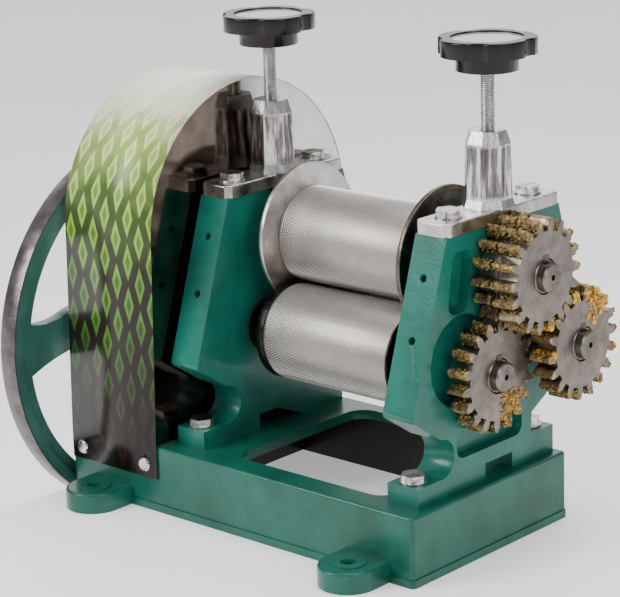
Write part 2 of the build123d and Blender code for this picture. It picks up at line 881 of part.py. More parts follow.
def make_flywheel():
    """Cast flywheel: stepped rim, curved spokes, hub and the handle's boss."""
    y, z = crank_axis_y, crank_axis_z
    rim = sleeve(wheel_radius, wheel_rim_inner, wheel_back_x, wheel_face_x, y, z)
    step = Pos(y, z) * (Circle(rim_step_radius) - Circle(wheel_rim_inner))
    rim -= prism(step, wheel_face_x - rim_step_depth, wheel_face_x)
    rim -= prism(step, wheel_back_x, wheel_back_x + rim_step_depth)
    spoke_x = hub_centre_x - spoke_thickness / 2
    wheel = rim + rod(hub_radius, hub_outer_x, hub_inner_x, y, z)
    face = spoke_face()
    for i in range(spoke_count):
        turned = Location((y, z), spoke_first_angle + i * 360 / spoke_count) * face
        wheel += prism(turned, spoke_x, spoke_x + spoke_thickness)
    wheel += rod(handle_boss_radius, wheel_back_x, wheel_face_x, handle_y, handle_z)
    wheel -= rod(spindle_radius, wheel_back_x, wheel_face_x, handle_y, handle_z)
    wheel -= rod(crank_shaft_radius, hub_outer_x, hub_inner_x, y, z)
    return wheel - keyway(y, z, crank_shaft_radius, hub_outer_x, hub_inner_x)


def make_nut(across, bore, x0, x1, y, z):
    """A hexagon nut on an X axis."""
    return prism(Pos(y, z) * (hexagon(across) - Circle(bore)), x0, x1)


def make_spindle():
    """The grip's headed pin, screwed into the wheel's boss."""
    head_x = grip_end_x - grip_gap
    pin = rod(spindle_radius, head_x, wheel_face_x, handle_y, handle_z)
    return pin + rod(spindle_head_radius, head_x - spindle_head_length, head_x, handle_y, handle_z)


def make_grip():
    """Turned handle grip, fullest in the middle."""
    middle = (grip_start_x + grip_end_x) / 2
    bore = spindle_radius + running_clearance
    side = ThreePointArc(
        (grip_end_x, grip_end_radius), (middle, grip_radius), (grip_start_x, grip_end_radius)
    )
    box = Polyline(
        (grip_start_x, grip_end_radius),
        (grip_start_x, bore),
        (grip_end_x, bore),
        (grip_end_x, grip_end_radius),
    )
    section = outline(side, box)
    grip = revolve(section, Axis.X)
    return Pos(0, handle_y, handle_z) * grip


# ---------------------------------------------------------------- cover
def tangent_point(y, z, side):
    """Where a straight panel from (y, z) meets the cover's arc; side is -1 front, +1 back."""
    dy = y - cover_arc_y
    dz = z - cover_arc_z
    distance = math.hypot(dy, dz)
    away = math.atan2(dz, dy)
    spread = math.acos(cover_arc_radius / distance)
    angle = away - spread if side < 0 else away + spread
    return (
        cover_arc_y + cover_arc_radius * math.cos(angle),
        cover_arc_z + cover_arc_radius * math.sin(angle),
    )


def cover_profile():
    """The cover's side outline: two straight panels and one big arc."""
    foot = base_width / 2 + cover_sheet
    front = tangent_point(-foot, cover_bend_z, -1)
    back = tangent_point(foot, cover_bend_z, 1)
    crown = (cover_arc_y, cover_arc_z + cover_arc_radius)
    return outline(
        Polyline((-foot, cover_skirt_z), (-foot, cover_bend_z), front),
        ThreePointArc(front, crown, back),
        Polyline(back, (foot, cover_bend_z), (foot, cover_skirt_z), (-foot, cover_skirt_z)),
    )


def make_cover():
    """Bent sheet cover with two welded sides, open below and slotted to drop over the shafts."""
    side_bottom = base_height + cover_side_gap
    outer = cover_profile()
    inner = offset(outer, -cover_sheet)
    body = prism(outer, cover_left_x, cover_right_x)
    body -= prism(inner, cover_left_x + cover_sheet, cover_right_x - cover_sheet)
    foot = base_width / 2
    body -= block(cover_left_x, cover_right_x, -foot, foot, cover_skirt_z, side_bottom)
    housing_gap = housing_radius + cover_side_gap
    shaft_gap = shaft_radius + cover_shaft_clearance + lift_range
    crank_gap = crank_shaft_radius + cover_side_gap
    right = (cover_right_x - cover_sheet, cover_right_x)
    left = (cover_left_x, cover_left_x + cover_sheet)
    body -= u_slot(housing_gap, crank_axis_y, crank_axis_z, side_bottom, *right)
    body -= u_slot(shaft_gap, top_axis_y, top_axis_z, side_bottom, *right)
    body -= u_slot(crank_gap, crank_axis_y, crank_axis_z, side_bottom, *left)
    for x, y, direction in cover_screw_places():
        body -= Pos(x, y, cover_screw_z) * Cylinder(
            cover_screw_radius, 4 * cover_sheet, rotation=(90, 0, 0)
        )
    return body


def u_slot(half_width, y, z, bottom, x0, x1):
    """A round-ended slot up from the sheet's lower edge."""
    slot = rod(half_width, x0, x1, y, z)
    return slot + block(x0, x1, y - half_width, y + half_width, bottom, z)


def cover_screw_places():
    """(X, Y, direction) of the cover's four screws, on the base's front and back walls."""
    xs = (cover_left_x + cover_screw_inset + 2, cover_right_x - cover_screw_inset)
    return [(x, side * base_width / 2, side) for side in (-1, 1) for x in xs]


def make_cover_screw(x, y, direction):
    """A pan-head screw through the cover's skirt."""
    head_y = y + direction * cover_sheet
    tip_y = y - direction * cover_screw_grip
    top_y = head_y + direction * cover_screw_head_height
    shank = Pos(x, (tip_y + head_y) / 2, cover_screw_z) * Cylinder(
        cover_screw_radius, abs(head_y - tip_y), rotation=(90, 0, 0)
    )
    head = Pos(x, (head_y + top_y) / 2, cover_screw_z) * Cylinder(
        cover_screw_head, cover_screw_head_height, rotation=(90, 0, 0)
    )
    outer = head.edges().sort_by(Axis.Y)[0 if direction < 0 else -1]
    return shank + chamfer(outer, 1.2)


# ---------------------------------------------------------------- write the parts
os.makedirs("parts", exist_ok=True)

save("base", make_base())
for side, x in frames.items():
    save(f"frame_{side}", make_frame(side, x))
    save(f"cap_{side}", make_cap(x))
    save(f"block_{side}", make_bearing_block(x))
    x0 = x + (frame_thickness - block_length) / 2
    save(
        f"block_bush_{side}",
        sleeve(bush_radius, bush_bore, x0, x0 + block_length, top_axis_y, top_axis_z),
    )
    for row, axis in lower_axes.items():
        save(f"bush_{row}_{side}", sleeve(bush_radius, bush_bore, x, x + frame_thickness, *axis))
    save(f"screw_{side}", make_screw(x))
    save(f"knob_{side}", make_knob(x))
    save(f"knob_plate_{side}", make_knob_plate(x))
group("foot_bolts", [make_bolt(*place) for place in foot_bolt_places()])
group(
    "cap_bolts",
    [
        make_bolt(x + frame_thickness / 2, top_axis_y + reach, cap_top_z)
        for x in frames.values()
        for reach in (-cap_bolt_reach, cap_bolt_reach)
    ],
)

# the top roller with its flanges, collars, gear and the drive gear
top_axis = (top_axis_y, top_axis_z)
top_tooth = 0.0
drive_direction = math.degrees(math.atan2(crank_axis_z - top_axis_z, crank_offset_y))
drive_hub = (drive_gear_x - drive_hub_width / 2, drive_gear_x + drive_hub_width / 2)
top_key_span = (inner_gear_x, gear_face_x)
flange_left_x = roller_left_x - flange_thickness
flange_right_end_x = roller_right_x + flange_thickness
save(
    "shaft_top",
    make_roller_shaft(top_shaft_end_x, gear_face_x, *top_axis, [drive_hub, top_key_span]),
)
save("roller_top", sleeve(roller_radius, shaft_radius, roller_left_x, roller_right_x, *top_axis))
save("flange_left", sleeve(flange_radius, shaft_radius, flange_left_x, roller_left_x, *top_axis))
save(
    "flange_right",
    sleeve(flange_radius, shaft_radius, roller_right_x, flange_right_end_x, *top_axis),
)
save(
    "collar_left",
    sleeve(
        collar_radius, shaft_radius, frame_left_face + collar_frame_gap, flange_left_x, *top_axis
    ),
)
save(
    "collar_right",
    sleeve(
        collar_radius, shaft_radius, flange_right_end_x, frame_right_x - collar_frame_gap, *top_axis
    ),
)
save("gear_top", make_top_gear(top_tooth))
save("drive_gear", make_drive_gear(drive_direction))
group("keys_top", [keyway(*top_axis, shaft_radius, *span) for span in (drive_hub, top_key_span)])

# the two lower rollers, whose gears mesh with the top gear's inner and outer rims
for row, (y, z) in lower_axes.items():
    gear_start, gear_end = lower_gear_spans[row]
    save(
        f"shaft_{row}",
        make_roller_shaft(frame_left_x, gear_end, y, z, [(gear_start, gear_end)]),
    )
    drum_left = lower_left_x + left_ring_thickness
    drum_right = lower_right_x - right_ring_thickness
    save(f"roller_{row}", sleeve(roller_radius, shaft_radius, drum_left, drum_right, y, z))
    left_hub_x = frame_left_face + collar_frame_gap
    right_hub_x = frame_right_x - collar_frame_gap
    save(f"ring_{row}_left", make_end_ring(drum_left, left_hub_x, left_ring_thickness, y, z))
    save(f"ring_{row}_right", make_end_ring(drum_right, right_hub_x, right_ring_thickness, y, z))
    direction = math.degrees(math.atan2(z - top_axis_z, y - top_axis_y))
    tooth = meshed_tooth(top_tooth, gear_teeth, direction, gear_teeth)
    save(f"gear_{row}", make_roller_gear(tooth, gear_start, gear_end, y, z))
    save(f"key_{row}", keyway(y, z, shaft_radius, gear_start, gear_end))
save(
    "spacer_back",
    sleeve(
        spacer_radius, shaft_radius, frame_right_face + collar_frame_gap, gear_x, *lower_axes["back"]
    ),
)

# the crank shaft with its pinion and flywheel
crank_y, crank_z = crank_axis_y, crank_axis_z
save("crank_housing", make_housing())
group("housing_screws", [make_housing_screw(*place) for place in housing_screw_places()])
group(
    "crank_bushes",
    [
        sleeve(crank_bush_radius, crank_shaft_radius + running_clearance, x0, x1, crank_y, crank_z)
        for x0, x1 in crank_bush_spans()
    ],
)
pinion_span = (drive_gear_x - pinion_width / 2, drive_gear_x + pinion_width / 2)
hub_span = (hub_outer_x, hub_inner_x)
save(
    "crank_shaft",
    make_shaft(
        nut_x - 4, frame_left_x, crank_y, crank_z, crank_shaft_radius, [pinion_span, hub_span]
    ),
)
pinion_tooth = meshed_tooth(drive_direction, drive_teeth, drive_direction, pinion_teeth)
save("pinion", make_pinion(pinion_tooth))
group("keys_crank", [keyway(crank_y, crank_z, crank_shaft_radius, *s) for s in (pinion_span, hub_span)])
save("flywheel", make_flywheel())
save(
    "wheel_washer",
    sleeve(washer_radius, crank_shaft_radius, hub_outer_x - washer_thickness, hub_outer_x, crank_y, crank_z),
)
save(
    "wheel_nut",
    make_nut(nut_across, crank_shaft_radius, nut_x, nut_x + nut_height, crank_y, crank_z),
)
save("handle_spindle", make_spindle())
save(
    "spindle_nut",
    make_nut(
        spindle_nut_across,
        spindle_radius,
        wheel_back_x - spindle_nut_height,
        wheel_back_x,
        handle_y,
        handle_z,
    ),
)
save("handle_grip", make_grip())

# the cover
save("cover", make_cover())
group("cover_screws", [make_cover_screw(*place) for place in cover_screw_places()])
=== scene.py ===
import bpy
import bmesh
import math
from mathutils import Matrix, Vector


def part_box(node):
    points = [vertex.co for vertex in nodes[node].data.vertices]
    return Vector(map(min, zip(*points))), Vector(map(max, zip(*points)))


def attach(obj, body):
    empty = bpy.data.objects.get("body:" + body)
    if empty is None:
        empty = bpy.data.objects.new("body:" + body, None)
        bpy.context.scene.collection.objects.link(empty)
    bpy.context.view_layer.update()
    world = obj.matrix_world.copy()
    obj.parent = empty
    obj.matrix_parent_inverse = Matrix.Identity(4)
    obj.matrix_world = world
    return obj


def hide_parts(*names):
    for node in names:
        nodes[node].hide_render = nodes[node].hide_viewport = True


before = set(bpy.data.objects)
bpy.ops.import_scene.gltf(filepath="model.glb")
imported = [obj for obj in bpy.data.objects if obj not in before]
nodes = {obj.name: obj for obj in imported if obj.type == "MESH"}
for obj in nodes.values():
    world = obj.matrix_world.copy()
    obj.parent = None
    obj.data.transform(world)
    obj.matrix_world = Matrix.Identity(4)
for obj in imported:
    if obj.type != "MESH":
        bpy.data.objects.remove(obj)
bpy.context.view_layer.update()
mm = 0.001

# ---------------------------------------------------------------- the camera
# The press is seen from the front right and a little above, through a long lens, with the
# camera tilted by under two degrees.
camera_azimuth = math.radians(42.26)
camera_elevation = math.radians(15.53)
camera_roll = math.radians(-1.76)
towards = Vector((
    math.sin(camera_azimuth) * math.cos(camera_elevation),
    -math.cos(camera_azimuth) * math.cos(camera_elevation),
    math.sin(camera_elevation),
))
across = Vector((math.cos(camera_azimuth), math.sin(camera_azimuth), 0))
upward = towards.cross(across)
tilted_across = across * math.cos(camera_roll) + upward * math.sin(camera_roll)
tilted_upward = -across * math.sin(camera_roll) + upward * math.cos(camera_roll)
lens = bpy.data.cameras.new("camera")
lens.sensor_width = 36
lens.lens = 137.6
lens.shift_x = -0.0062
lens.shift_y = -0.0028
lens.clip_end = 60
camera = bpy.data.objects.new("camera", lens)
turn = Matrix((tilted_across, tilted_upward, towards)).transposed().to_4x4()
camera.matrix_world = Matrix.Translation(Vector((1339, -1466, 740)) * mm) @ turn
bpy.context.collection.objects.link(camera)
bpy.context.scene.camera = camera


# ---------------------------------------------------------------- bench, floor and light
# A pale bench top whose left edge stops at the base, so that the wheel hangs past it above a
# pale floor. Three broad soft lamps and a white room with one wide window light them.
def srgb(code):
    """A linear colour with alpha from six hexadecimal digits."""
    parts = [int(code[i:i + 2], 16) / 255 for i in (0, 2, 4)]
    return [p / 12.92 if p <= 0.04045 else ((p + 0.055) / 1.055) ** 2.4 for p in parts] + [1]


def add(tree, kind, sockets=None, **settings):
    """Adds a node, sets its properties, and sets or links its inputs by name or number."""
    made = tree.nodes.new(kind)
    for key, value in settings.items():
        setattr(made, key, value)
    for key, value in (sockets or {}).items():
        if isinstance(value, bpy.types.NodeSocket):
            tree.links.new(value, made.inputs[key])
        else:
            made.inputs[key].default_value = value
    return made


def new_finish(name):
    """An empty material: its tree, its shader and the object coordinates."""
    finish = bpy.data.materials.new(name)
    finish.use_nodes = True
    tree = finish.node_tree
    tree.nodes.clear()
    shader = add(tree, "ShaderNodeBsdfPrincipled")
    add(tree, "ShaderNodeOutputMaterial", {"Surface": shader.outputs[0]})
    place = add(tree, "ShaderNodeTexCoord").outputs["Object"]
    return finish, tree, shader, place


def ramp(tree, factor, *stops):
    """A colour ramp from (position, colour) stops."""
    made = add(tree, "ShaderNodeValToRGB", {"Fac": factor})
    while len(made.color_ramp.elements) < len(stops):
        made.color_ramp.elements.new(0.5)
    for element, (position, colour) in zip(made.color_ramp.elements, stops):
        element.position = position
        element.color = colour
    return made.outputs["Color"]


def noise(tree, place, scale, detail=3.0, roughness=0.55, stretch=(1, 1, 1)):
    """Noise of a scale per metre, stretched along an axis where asked."""
    stretched = add(tree, "ShaderNodeMapping", {"Vector": place, "Scale": stretch}).outputs[0]
    return add(tree, "ShaderNodeTexNoise", {
        "Vector": stretched, "Scale": scale, "Detail": detail, "Roughness": roughness,
    }).outputs["Fac"]


def span(tree, value, low, high):
    """Maps 0..1 to low..high."""
    return add(tree, "ShaderNodeMapRange", {"Value": value, "To Min": low, "To Max": high}).outputs[0]


def fade(tree, value, start, end):
    """Goes from 0 at start to 1 at end."""
    return add(tree, "ShaderNodeMapRange", {"Value": value, "From Min": start, "From Max": end}).outputs[0]


def mix(tree, factor, first, second):
    """Mixes two colours."""
    made = add(tree, "ShaderNodeMix", data_type="RGBA")
    for key, value in ((0, factor), (6, first), (7, second)):
        if isinstance(value, bpy.types.NodeSocket):
            tree.links.new(value, made.inputs[key])
        else:
            made.inputs[key].default_value = value
    return made.outputs[2]


def maths(tree, operation, first, second=0.0):
    """One sum on one or two values."""
    return add(tree, "ShaderNodeMath", {0: first, 1: second}, operation=operation).outputs[0]


def scaled(tree, value, factor, start):
    """A value times a factor, plus a start."""
    return add(tree, "ShaderNodeMath", {0: value, 1: factor, 2: start},
               operation="MULTIPLY_ADD").outputs[0]


def about_axis(tree, place, axis):
    """The distance from an X axis at axis (y, z), in millimetres, and the split place about it."""
    centred = add(tree, "ShaderNodeVectorMath", {0: place, 1: (0, axis[0] * mm, axis[1] * mm)},
                  operation="SUBTRACT").outputs[0]
    parts = add(tree, "ShaderNodeSeparateXYZ", {"Vector": centred}).outputs
    radial = maths(tree, "SQRT", maths(tree, "ADD", maths(tree, "POWER", parts["Y"], 2.0),
                                       maths(tree, "POWER", parts["Z"], 2.0)))
    return radial, parts


def bumped(tree, shader, height, distance, strength=1.0):
    """Feeds a height, in metres times distance, to the shader's normal."""
    made = add(tree, "ShaderNodeBump", {"Height": height, "Distance": distance, "Strength": strength})
    tree.links.new(made.outputs[0], shader.inputs["Normal"])


def slab(name, low, high, finish):
    """A rectangular block between two corners."""
    mesh = bpy.data.meshes.new(name)
    shape = bmesh.new()
    bmesh.ops.create_cube(shape, size=1)
    for v in shape.verts:
        v.co = Vector([(a + b) / 2 + c * (b - a) for a, b, c in zip(low, high, v.co)])
    shape.to_mesh(mesh)
    shape.free()
    mesh.materials.append(finish)
    piece = bpy.data.objects.new(name, mesh)
    bpy.context.collection.objects.link(piece)
    return piece


pale, tree, shader, place = new_finish("pale_laminate")
cloud = noise(tree, place, 3.0)
tree.links.new(ramp(tree, cloud, (0.3, srgb("F4F4F3")), (0.7, srgb("FAFAF9"))), shader.inputs["Base Color"])
shader.inputs["Roughness"].default_value = 0.6
shader.inputs["Specular IOR Level"].default_value = 0.2
shader.inputs["Emission Color"].default_value = srgb("FFFFFF")
shader.inputs["Emission Strength"].default_value = 0.42
bench_left_x = -202.5 * mm
bench_height = 100 * mm
slab("bench", (bench_left_x, -8, -bench_height), (9, 9, 0), pale)
slab("floor", (-12, -9, -2 * bench_height), (12, 12, -bench_height), pale)

room = bpy.data.worlds.new("room")
bpy.context.scene.world = room
room.use_nodes = True
room.node_tree.nodes.clear()
direction = add(room.node_tree, "ShaderNodeTexCoord").outputs["Generated"]
height = add(room.node_tree, "ShaderNodeSeparateXYZ", {"Vector": direction}).outputs["Z"]
wash = ramp(room.node_tree, height, (0.0, srgb("8A8A8C")), (0.12, srgb("B9BABC")), (0.45, srgb("F4F5F6")))
window_direction = (-0.67, 0.74, 0.1)
behind = add(room.node_tree, "ShaderNodeVectorMath", {0: direction, 1: window_direction},
             operation="DOT_PRODUCT").outputs["Value"]
window_light = ramp(room.node_tree, behind, (0.62, (0, 0, 0, 1)), (0.9, (1, 1, 1, 1)))
low_sky = ramp(room.node_tree, height, (0.5, (1, 1, 1, 1)), (0.7, (0, 0, 0, 1)))
pane = maths(room.node_tree, "MULTIPLY", window_light, low_sky)
power = maths(room.node_tree, "ADD", maths(room.node_tree, "MULTIPLY", pane, 2.2), 0.62)
backdrop = add(room.node_tree, "ShaderNodeBackground", {"Color": wash, "Strength": power})
add(room.node_tree, "ShaderNodeOutputWorld", {"Surface": backdrop.outputs[0]})


def lamp(name, place, target, size, power):
    """A square soft lamp that looks at a point."""
    light = bpy.data.lights.new(name, "AREA")
    light.shape = "RECTANGLE"
    light.size, light.size_y = size
    light.energy = power
    lit = bpy.data.objects.new(name, light)
    aim = Vector(target) - Vector(place)
    lit.matrix_world = Matrix.Translation(place) @ aim.to_track_quat("-Z", "Y").to_matrix().to_4x4()
    bpy.context.collection.objects.link(lit)


lamp("front_left", (-1.1, -1.9, 1.5), (0, 0, 0.2), (1.2, 1.0), 46)
lamp("right", (2.1, -0.5, 1.1), (0.1, 0, 0.2), (0.9, 1.2), 13)
lamp("overhead", (0.1, 0.5, 2.2), (0, 0, 0.2), (1.6, 1.6), 30)


# ---------------------------------------------------------------- base casting
# The base is an open-bottomed box of grey iron with four bolt lugs. Outside it is sprayed in
# blue-green enamel over the cast skin; inside, its bare iron is painted near black as painted shade.
def enamel(name, deep, bright):
    """Gloss enamel over a cast skin: an uneven film with fine pimples."""
    finish, tree, shader, place = new_finish(name)
    drift = noise(tree, place, 22.0, 4.0)
    colour = ramp(tree, drift, (0.32, srgb(deep)), (0.68, srgb(bright)))
    skin = noise(tree, place, 420.0, 4.0, 0.6)
    dimple = noise(tree, place, 60.0, 3.0)
    tree.links.new(span(tree, dimple, 0.24, 0.4), shader.inputs["Roughness"])
    shader.inputs["Specular IOR Level"].default_value = 0.32
    shader.inputs["Coat Weight"].default_value = 0.16
    shader.inputs["Coat Roughness"].default_value = 0.08
    height = maths(tree, "ADD", skin, maths(tree, "MULTIPLY", dimple, 2.0))
    bumped(tree, shader, height, 0.00035, 0.55)
    return finish, tree, shader, place, colour


def dress(node, finish, edge=0.0):
    """Gives a CAD node its finish, and a rounded edge where one is asked for."""
    piece = nodes[node]
    piece.data.materials.clear()
    piece.data.materials.append(finish)
    for polygon in piece.data.polygons:
        polygon.material_index = 0
    if edge:
        weld = piece.modifiers.new("weld", "WELD")
        weld.merge_threshold = 1e-6
        rounding = piece.modifiers.new("edge", "BEVEL")
        rounding.width = edge
        rounding.segments = 2
        rounding.limit_method = "ANGLE"
        rounding.angle_limit = math.radians(35)
        rounding.harden_normals = True
    return piece


hollow_reach = (192.5 * mm, 96.5 * mm, 51.5 * mm)
base_paint, tree, shader, place, colour = enamel("green_enamel_base", "064C3E", "0E6352")
spread = add(tree, "ShaderNodeSeparateXYZ", {"Vector": place}).outputs
inside_x = maths(tree, "LESS_THAN", maths(tree, "ABSOLUTE", spread["X"]), hollow_reach[0])
inside_y = maths(tree, "LESS_THAN", maths(tree, "ABSOLUTE", spread["Y"]), hollow_reach[1])
inside_z = maths(tree, "LESS_THAN", spread["Z"], hollow_reach[2])
inside = maths(tree, "MULTIPLY", maths(tree, "MULTIPLY", inside_x, inside_y), inside_z)
# Inside the hollow the colour is near black: bare iron darkened as painted shade.
inside_shade_mottle = noise(tree, place, 35.0, 4.0)
bare = ramp(tree, inside_shade_mottle, (0.3, srgb("050404")), (0.7, srgb("100D0B")))
tree.links.new(mix(tree, inside, colour, bare), shader.inputs["Base Color"])
dress("base", base_paint, 1.1 * mm)

# ---------------------------------------------------------------- side frames
# Two like iron castings carry the rollers. They wear the same enamel as the base, painted a
# little brighter all over as painted light, since their slanting fronts face the lamps.
# A copy of the base's enamel, lighter as painted light, used on the frames and the wheel's shaft housing.
frame_paint_lit_copy, tree, shader, place, colour = enamel("green_enamel_frames_painted_lighter", "05584A", "0C7161")
tree.links.new(colour, shader.inputs["Base Color"])
for side in ("left", "right"):
    dress(f"frame_{side}", frame_paint_lit_copy, 1.3 * mm)


# ---------------------------------------------------------------- bearing caps
# The caps are sand-cast aluminium, tumbled until bright, with small pits: high spots shine, the
# bosses' waists carry dark and pale vertical streaks as a painted reflection, and the plates'
# sawn edges stay rough and brownish.
plate_top_z = 286.6 * mm
boss_waist_low = (293.5 * mm, 298.5 * mm)
boss_waist_high = (341.0 * mm, 337.0 * mm)
cap_metal, tree, shader, place = new_finish("cast_aluminium")
streak = noise(tree, place, 120.0, 4.0, 0.6, (1, 1, 0.18))
patch = noise(tree, place, 38.0, 3.0)
blend = maths(tree, "ADD", maths(tree, "MULTIPLY", streak, 0.6), maths(tree, "MULTIPLY", patch, 0.4))
bright_skin = ramp(tree, blend, (0.34, srgb("8A8785")), (0.48, srgb("CFCDCC")), (0.66, srgb("F4F4F4")))
sawn_skin = ramp(tree, patch, (0.35, srgb("8F8882")), (0.65, srgb("D2CECA")))
# Dark and pale streaks along the boss waists, a painted reflection of the dark parts around the caps.
reflection_streak_noise = noise(tree, place, 210.0, 3.0, 0.6, (1, 1, 0.1))
painted_reflection_streaks = ramp(tree, reflection_streak_noise, (0.4, srgb("2E2725")), (0.5, srgb("7E7673")), (0.6, srgb("E6E3E1")))
level = add(tree, "ShaderNodeSeparateXYZ", {"Vector": place}).outputs["Z"]
facing_up = add(tree, "ShaderNodeSeparateXYZ", {
    "Vector": add(tree, "ShaderNodeTexCoord").outputs["Normal"],
}).outputs["Z"]
on_edge = maths(tree, "LESS_THAN", facing_up, 0.4)
sawn = maths(tree, "MULTIPLY", maths(tree, "LESS_THAN", level, plate_top_z), on_edge)
above_foot = fade(tree, level, *boss_waist_low)
below_nose = fade(tree, level, *boss_waist_high)
waist = maths(tree, "MULTIPLY", above_foot, below_nose)
skin = mix(tree, maths(tree, "MULTIPLY", waist, 0.85), bright_skin, painted_reflection_streaks)
tree.links.new(mix(tree, sawn, skin, sawn_skin), shader.inputs["Base Color"])
shader.inputs["Metallic"].default_value = 1.0
tree.links.new(span(tree, patch, 0.14, 0.46), shader.inputs["Roughness"])
pits = noise(tree, place, 520.0, 3.0)
bumped(tree, shader, maths(tree, "ADD", pits, maths(tree, "MULTIPLY", streak, 2.0)), 0.0005, 0.5)
for side in ("left", "right"):
    dress(f"cap_{side}", cap_metal, 1.2 * mm)


# ---------------------------------------------------------------- bolts
# Zinc-plated hexagon bolts with washers hold the frames and the caps; their plating is dull
# with darker smudges from the spanner.
def plated(name, dark, light, low, high, scale=160.0):
    """A metal whose colour and polish wander with one noise."""
    finish, tree, shader, place = new_finish(name)
    smudge = noise(tree, place, scale, 4.0, 0.6)
    tree.links.new(ramp(tree, smudge, (0.35, srgb(dark)), (0.65, srgb(light))), shader.inputs["Base Color"])
    shader.inputs["Metallic"].default_value = 1.0
    tree.links.new(span(tree, smudge, low, high), shader.inputs["Roughness"])
    bumped(tree, shader, noise(tree, place, scale * 5, 3.0), 0.0002, 0.35)
    return finish


zinc = plated("zinc_plate", "8C8985", "DAD9D5", 0.2, 0.4)
for node in ("foot_bolts", "cap_bolts"):
    dress(node, zinc, 0.7 * mm)


# ---------------------------------------------------------------- bearing blocks and bushes
# The top roller's blocks are milled iron, and all the bushes are turned bronze with a film of
# oil on them.
milled_iron = plated("milled_iron", "5B5856", "7E7B78", 0.32, 0.5)
bronze = plated("bush_bronze", "8A6A34", "B48C4A", 0.2, 0.36)
for side in ("left", "right"):
    dress(f"block_{side}", milled_iron, 0.6 * mm)
    dress(f"block_bush_{side}", bronze, 0.4 * mm)
    for row in ("front", "back"):
        dress(f"bush_{row}_{side}", bronze, 0.4 * mm)
dress("crank_bushes", bronze, 0.4 * mm)


# ---------------------------------------------------------------- rollers
# Each roller is a turned steel drum whose face is rolled all over with small raised studs in
# staggered rows, so that it bites into the cane.
def socket_of(tree, name, kind, value=None):
    """Adds a named input to a geometry tree."""
    made = tree.interface.new_socket(name, in_out="INPUT", socket_type=kind)
    if value is not None:
        made.default_value = value
    return made.identifier


def geometry_tree(name):
    """An empty geometry tree with its input and output nodes."""
    tree = bpy.data.node_groups.new(name, "GeometryNodeTree")
    tree.interface.new_socket("Geometry", in_out="INPUT", socket_type="NodeSocketGeometry")
    tree.interface.new_socket("Geometry", in_out="OUTPUT", socket_type="NodeSocketGeometry")
    entry = add(tree, "NodeGroupInput")
    return tree, entry


def grown(name, tree, values, source_mesh=None):
    """Runs a geometry tree with its inputs set, and returns the result as a plain mesh piece."""
    piece = bpy.data.objects.new(name, source_mesh or bpy.data.meshes.new(name + "_seed"))
    bpy.context.collection.objects.link(piece)
    modifier = piece.modifiers.new("grow", "NODES")
    modifier.node_group = tree
    for identifier, value in values.items():
        modifier[identifier] = value
    bpy.context.view_layer.update()
    graph = bpy.context.evaluated_depsgraph_get()
    result = bpy.data.meshes.new_from_object(piece.evaluated_get(graph))
    piece.modifiers.remove(modifier)
    piece.data = result
    return piece


stud_tree, entry = geometry_tree("roller_studs")
stud_inputs = {}
for label, kind, value in (
    ("Radius", "NodeSocketFloat", 0.042), ("Start X", "NodeSocketFloat", 0.0),
    ("Length", "NodeSocketFloat", 0.16), ("Axis Y", "NodeSocketFloat", 0.0),
    ("Axis Z", "NodeSocketFloat", 0.0), ("Around", "NodeSocketInt", 106),
    ("Rows", "NodeSocketInt", 70), ("Stud", "NodeSocketFloat", 0.00105),
    ("Height", "NodeSocketFloat", 0.0005), ("Finish", "NodeSocketMaterial", None),
):
    stud_inputs[label] = socket_of(stud_tree, label, kind, value)
entry_out = entry.outputs
index = add(stud_tree, "GeometryNodeInputIndex").outputs[0]
count = maths(stud_tree, "MULTIPLY", entry_out["Around"], entry_out["Rows"])
points = add(stud_tree, "GeometryNodeMeshLine", {"Count": count})
ring = maths(stud_tree, "FLOOR", maths(stud_tree, "DIVIDE", index, entry_out["Around"]))
step = maths(stud_tree, "MODULO", index, entry_out["Around"])
stagger = maths(stud_tree, "MODULO", ring, 2.0)
step = scaled(stud_tree, stagger, 0.5, step)
part_turn = maths(stud_tree, "DIVIDE", step, entry_out["Around"])
angle = maths(stud_tree, "MULTIPLY", part_turn, 2 * math.pi)
cosine = maths(stud_tree, "COSINE", angle)
sine = maths(stud_tree, "SINE", angle)
outward = add(stud_tree, "ShaderNodeCombineXYZ", {"Y": cosine, "Z": sine}).outputs[0]
share = maths(stud_tree, "DIVIDE", maths(stud_tree, "ADD", ring, 0.5), entry_out["Rows"])
along = scaled(stud_tree, share, entry_out["Length"], entry_out["Start X"])
out_y = scaled(stud_tree, cosine, entry_out["Radius"], entry_out["Axis Y"])
out_z = scaled(stud_tree, sine, entry_out["Radius"], entry_out["Axis Z"])
spot = add(stud_tree, "ShaderNodeCombineXYZ", {"X": along, "Y": out_y, "Z": out_z}).outputs[0]
placed = add(stud_tree, "GeometryNodeSetPosition", {"Geometry": points.outputs[0], "Position": spot})
stud_sides = 4
stud_taper = 0.35
stud = add(stud_tree, "GeometryNodeMeshCone", {
    "Vertices": stud_sides, "Radius Bottom": entry_out["Stud"], "Depth": entry_out["Height"],
    "Radius Top": maths(stud_tree, "MULTIPLY", entry_out["Stud"], stud_taper),
}, fill_type="TRIANGLE_FAN")
facing = add(stud_tree, "FunctionNodeAlignRotationToVector", {"Vector": outward}, axis="Z")
standing = add(stud_tree, "GeometryNodeInstanceOnPoints", {
    "Points": placed.outputs[0], "Instance": stud.outputs[0], "Rotation": facing.outputs[0],
})
real = add(stud_tree, "GeometryNodeRealizeInstances", {"Geometry": standing.outputs[0]})
faced = add(stud_tree, "GeometryNodeSetMaterial", {
    "Geometry": real.outputs[0], "Material": entry_out["Finish"],
})
add(stud_tree, "NodeGroupOutput", {"Geometry": faced.outputs[0]})

